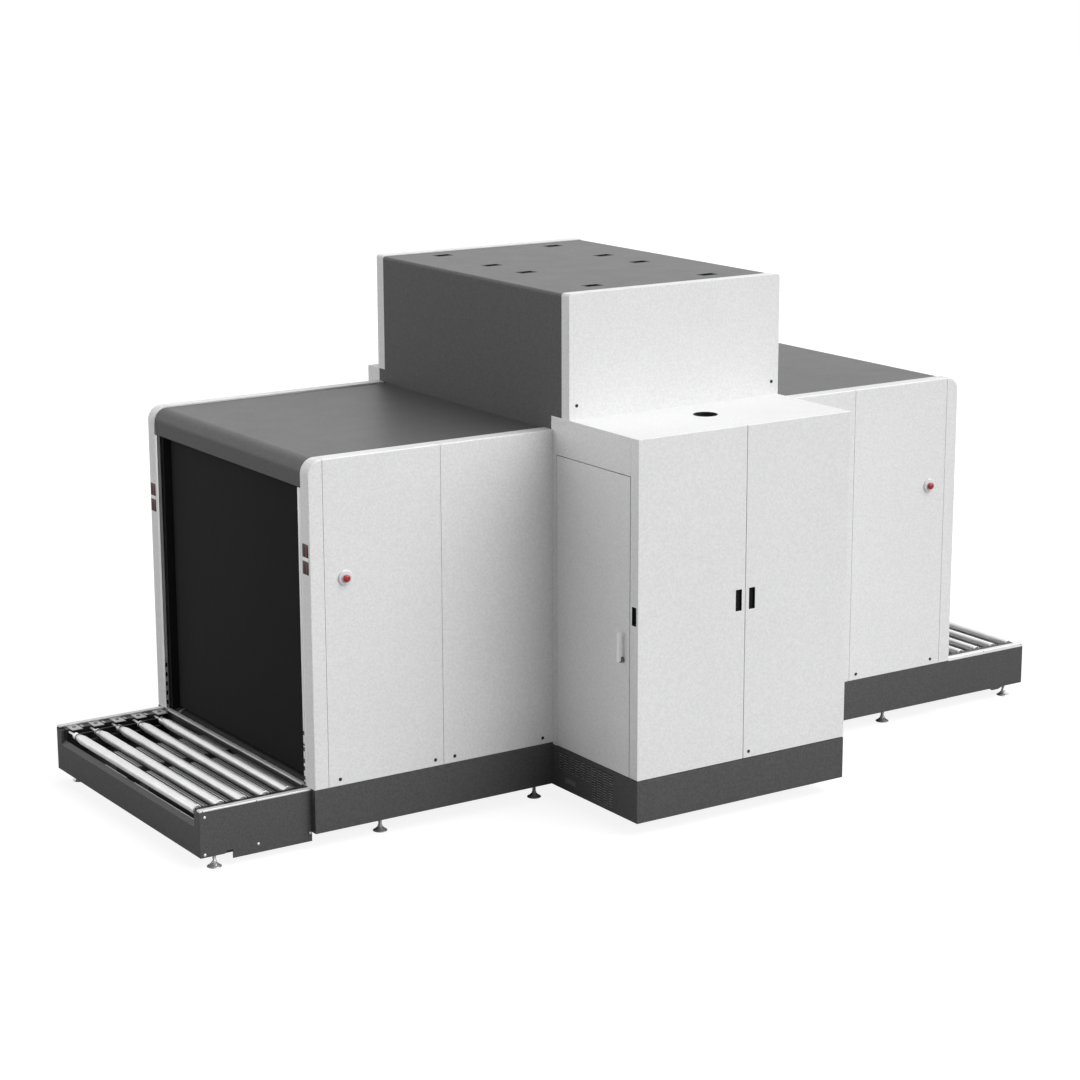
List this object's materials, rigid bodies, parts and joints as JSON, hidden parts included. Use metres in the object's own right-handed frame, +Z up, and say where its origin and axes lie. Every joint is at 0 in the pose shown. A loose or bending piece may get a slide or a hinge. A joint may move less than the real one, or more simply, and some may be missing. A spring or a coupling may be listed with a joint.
{
  "type": "baggage x-ray scanner",
  "caption": "Baggage x-ray scanner: a curtained conveyor tunnel between short roller conveyors, with a raised upper housing and a side cabinet with doors that open.",
  "frame": {"origin": "on the floor, in the middle of the machine's footprint", "axes": "+Z up, +X along the conveyor from entrance to exit, the cabinet stands on the -Y side"},
  "size_m": [6.4, 3.115, 3.181],
  "materials": {
    "white_paint": "satin, fine orange-peel texture",
    "dark_paint": "matt, fine texture",
    "grey_paint": "matt",
    "edge_metal": "satin anodised",
    "roller_metal": "satin",
    "foot_metal": "polished",
    "belt_rubber": "matt, woven",
    "curtain_rubber": "matt",
    "band_rubber": "satin",
    "black_plastic": "matt",
    "pale_plastic": "satin",
    "red_plastic": "gloss",
    "lamp_lens": "gloss, dark red lens",
    "window_plastic": "gloss, dark window"
  },
  "bodies": {
    "machine": {"base_skirts": "dark_paint", "mouth_sills": "dark_paint", "transfer_bars": "edge_metal", "edge_trims": "white_paint", "near_side_panels": "white_paint", "far_side_panels": "white_paint", "entrance_roof": "dark_paint", "exit_roof": "dark_paint", "tunnel_walls": "dark_paint", "tunnel_ceilings": "dark_paint", "mouth_strips": "edge_metal", "light_barriers": "window_plastic", "indicator_lamps": "lamp_lens", "core_walls": "dark_paint", "core_roof": "dark_paint", "dome_shell": "dark_paint", "dome_end_panels": "white_paint", "cabinet_plinth": "dark_paint", "cabinet_exit_wall": "white_paint", "cabinet_entrance_wall": "white_paint", "cabinet_top": "white_paint", "rear_cover": "white_paint", "rear_plinth": "dark_paint", "conveyor_belt": "belt_rubber", "belt_drums": "roller_metal", "belt_slider_bed": "grey_paint", "cross_beams": "dark_paint", "conveyor_side_plates": "dark_paint", "conveyor_side_beams": "dark_paint", "rail_caps": "edge_metal", "conveyor_end_plates": "dark_paint", "conveyor_slat_beds": "grey_paint", "drive_bands": "band_rubber", "levelling_feet": "foot_metal", "stop_button_bases": "pale_plastic"},
    "left_leaf": {"left_door": "white_paint", "left_door_handles": "black_plastic"},
    "right_leaf": {"right_door": "white_paint", "right_door_handles": "black_plastic"},
    "side_leaf": {"side_door": "white_paint", "side_door_lever_base": "black_plastic"},
    "lever": {"side_door_lever": "pale_plastic"},
    "entrance_near_button": {"entrance_near_stop_button": "red_plastic"},
    "entrance_far_button": {"entrance_far_stop_button": "red_plastic"},
    "entrance_curtain_flap": {"entrance_curtain": "curtain_rubber"},
    "entrance_roller_body_1": {"entrance_roller_1": "roller_metal"},
    "entrance_roller_body_2": {"entrance_roller_2": "roller_metal"},
    "entrance_roller_body_3": {"entrance_roller_3": "roller_metal"},
    "entrance_roller_body_4": {"entrance_roller_4": "roller_metal"},
    "entrance_roller_body_5": {"entrance_roller_5": "roller_metal"},
    "exit_near_button": {"exit_near_stop_button": "red_plastic"},
    "exit_far_button": {"exit_far_stop_button": "red_plastic"},
    "exit_curtain_flap": {"exit_curtain": "curtain_rubber"},
    "exit_roller_body_1": {"exit_roller_1": "roller_metal"},
    "exit_roller_body_2": {"exit_roller_2": "roller_metal"},
    "exit_roller_body_3": {"exit_roller_3": "roller_metal"},
    "exit_roller_body_4": {"exit_roller_4": "roller_metal"},
    "exit_roller_body_5": {"exit_roller_5": "roller_metal"}
  },
  "joints": [
    {"name": "left_door_swing", "type": "hinge", "parent": "machine", "child": "left_leaf", "pos_m": [-0.79, -1.4755, 1.393], "axis": [0, 0, -1], "range_deg": [0, 90]},
    {"name": "right_door_swing", "type": "hinge", "parent": "machine", "child": "right_leaf", "pos_m": [0.79, -1.4755, 1.393], "axis": [0, 0, 1], "range_deg": [0, 90]},
    {"name": "side_door_swing", "type": "hinge", "parent": "machine", "child": "side_leaf", "pos_m": [-0.79, -0.7075, 1.276], "axis": [0, 0, -1], "range_deg": [0, 90]},
    {"name": "lever_turn", "type": "hinge", "parent": "side_leaf", "child": "lever", "pos_m": [-0.812, -1.4055, 1.078], "axis": [-1, 0, 0], "range_deg": [0, 90]},
    {"name": "entrance_near_button_press", "type": "slide", "parent": "machine", "child": "entrance_near_button", "axis": [0, 1, 0], "range_m": [0, 0.006]},
    {"name": "entrance_far_button_press", "type": "slide", "parent": "machine", "child": "entrance_far_button", "axis": [0, -1, 0], "range_m": [0, 0.006]},
    {"name": "entrance_curtain_swing", "type": "hinge", "parent": "machine", "child": "entrance_curtain_flap", "pos_m": [-2.39, 0.3875, 2.19], "axis": [0, 1, 0], "range_deg": [-30, 30]},
    {"name": "entrance_roller_1_spin", "type": "hinge", "parent": "machine", "child": "entrance_roller_body_1", "pos_m": [-3.158, 0.3875, 0.345], "axis": [0, 1, 0], "continuous": true},
    {"name": "entrance_roller_2_spin", "type": "hinge", "parent": "machine", "child": "entrance_roller_body_2", "pos_m": [-3.01, 0.3875, 0.345], "axis": [0, 1, 0], "continuous": true},
    {"name": "entrance_roller_3_spin", "type": "hinge", "parent": "machine", "child": "entrance_roller_body_3", "pos_m": [-2.862, 0.3875, 0.345], "axis": [0, 1, 0], "continuous": true},
    {"name": "entrance_roller_4_spin", "type": "hinge", "parent": "machine", "child": "entrance_roller_body_4", "pos_m": [-2.714, 0.3875, 0.345], "axis": [0, 1, 0], "continuous": true},
    {"name": "entrance_roller_5_spin", "type": "hinge", "parent": "machine", "child": "entrance_roller_body_5", "pos_m": [-2.566, 0.3875, 0.345], "axis": [0, 1, 0], "continuous": true},
    {"name": "exit_near_button_press", "type": "slide", "parent": "machine", "child": "exit_near_button", "axis": [0, 1, 0], "range_m": [0, 0.006]},
    {"name": "exit_far_button_press", "type": "slide", "parent": "machine", "child": "exit_far_button", "axis": [0, -1, 0], "range_m": [0, 0.006]},
    {"name": "exit_curtain_swing", "type": "hinge", "parent": "machine", "child": "exit_curtain_flap", "pos_m": [2.39, 0.3875, 2.19], "axis": [0, 1, 0], "range_deg": [-30, 30]},
    {"name": "exit_roller_1_spin", "type": "hinge", "parent": "machine", "child": "exit_roller_body_1", "pos_m": [3.158, 0.3875, 0.345], "axis": [0, 1, 0], "continuous": true},
    {"name": "exit_roller_2_spin", "type": "hinge", "parent": "machine", "child": "exit_roller_body_2", "pos_m": [3.01, 0.3875, 0.345], "axis": [0, 1, 0], "continuous": true},
    {"name": "exit_roller_3_spin", "type": "hinge", "parent": "machine", "child": "exit_roller_body_3", "pos_m": [2.862, 0.3875, 0.345], "axis": [0, 1, 0], "continuous": true},
    {"name": "exit_roller_4_spin", "type": "hinge", "parent": "machine", "child": "exit_roller_body_4", "pos_m": [2.714, 0.3875, 0.345], "axis": [0, 1, 0], "continuous": true},
    {"name": "exit_roller_5_spin", "type": "hinge", "parent": "machine", "child": "exit_roller_body_5", "pos_m": [2.566, 0.3875, 0.345], "axis": [0, 1, 0], "continuous": true}
  ],
  "couplings": [
    {"joint": "entrance_roller_2_spin", "follows": "entrance_roller_1_spin", "ratio": 1},
    {"joint": "entrance_roller_3_spin", "follows": "entrance_roller_1_spin", "ratio": 1},
    {"joint": "entrance_roller_4_spin", "follows": "entrance_roller_1_spin", "ratio": 1},
    {"joint": "entrance_roller_5_spin", "follows": "entrance_roller_1_spin", "ratio": 1},
    {"joint": "exit_roller_2_spin", "follows": "exit_roller_1_spin", "ratio": 1},
    {"joint": "exit_roller_3_spin", "follows": "exit_roller_1_spin", "ratio": 1},
    {"joint": "exit_roller_4_spin", "follows": "exit_roller_1_spin", "ratio": 1},
    {"joint": "exit_roller_5_spin", "follows": "exit_roller_1_spin", "ratio": 1}
  ]
}
